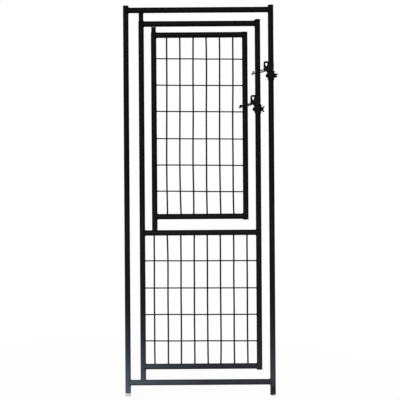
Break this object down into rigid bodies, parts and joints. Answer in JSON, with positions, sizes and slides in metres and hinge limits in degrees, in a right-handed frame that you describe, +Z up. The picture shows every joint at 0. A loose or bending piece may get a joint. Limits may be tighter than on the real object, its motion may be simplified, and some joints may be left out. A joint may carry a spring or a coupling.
{
  "type": "kennel gate panel",
  "caption": "Kennel gate panel of round steel tube: a frame with a full-height gate, a smaller mesh door hung inside the gate, and fork latches.",
  "frame": {"origin": "centre of the left post's flat foot, on the ground", "axes": "+X along the panel from the hinge post to the latch post, +Y to the back, +Z up"},
  "size_m": [0.5906, 0.051, 1.4913],
  "materials": {
    "frame_black": "semi-gloss black powder coat",
    "leaf_black": "semi-gloss black powder coat",
    "mesh_black": "semi-gloss black powder coat on wire",
    "latch_black": "black coated casting and fasteners",
    "cap_black": "black moulded cap",
    "plug_grey": "pale grey moulded foot plug"
  },
  "bodies": {
    "frame": {"left_post": "frame_black", "right_post": "frame_black", "top_rail": "frame_black", "bottom_rail": "frame_black", "left_post_cap": "cap_black", "right_post_cap": "cap_black", "left_foot_plug": "plug_grey", "right_foot_plug": "plug_grey", "gate_top_pin": "frame_black", "gate_bottom_pin": "frame_black", "gate_latch_collar": "latch_black", "gate_latch_bolt": "latch_black", "gate_latch_wing_nut": "latch_black", "gate_latch_pivot": "latch_black"},
    "gate_fork": {"gate_latch_fork": "latch_black"},
    "gate": {"gate_hinge_stile": "leaf_black", "gate_latch_stile": "leaf_black", "gate_top_rail": "leaf_black", "gate_mid_rail": "leaf_black", "gate_bottom_rail": "leaf_black", "gate_mesh": "mesh_black", "gate_stile_top_cap": "cap_black", "gate_stile_bottom_cap": "cap_black", "door_top_pin": "leaf_black", "door_bottom_pin": "leaf_black", "door_latch_collar": "latch_black", "door_latch_bolt": "latch_black", "door_latch_wing_nut": "latch_black", "door_latch_pivot": "latch_black"},
    "door_fork": {"door_latch_fork": "latch_black"},
    "door": {"door_hinge_stile": "leaf_black", "door_latch_stile": "leaf_black", "door_top_rail": "leaf_black", "door_bottom_rail": "leaf_black", "door_mesh": "mesh_black", "door_stile_top_cap": "cap_black", "door_stile_bottom_cap": "cap_black"}
  },
  "joints": [
    {"name": "gate_swing", "type": "hinge", "parent": "frame", "child": "gate", "pos_m": [0.0584, 0, 0.7], "axis": [0, 0, 1], "range_deg": [-100, 100]},
    {"name": "door_swing", "type": "hinge", "parent": "gate", "child": "door", "pos_m": [0.106, 0, 1], "axis": [0, 0, 1], "range_deg": [-100, 100]},
    {"name": "gate_latch_lift", "type": "hinge", "parent": "frame", "child": "gate_fork", "pos_m": [0.53635, 0, 1.246], "axis": [0, 1, 0], "range_deg": [0, 110]},
    {"name": "door_latch_lift", "type": "hinge", "parent": "gate", "child": "door_fork", "pos_m": [0.48555, 0, 1.118], "axis": [0, 1, 0], "range_deg": [0, 110]}
  ]
}
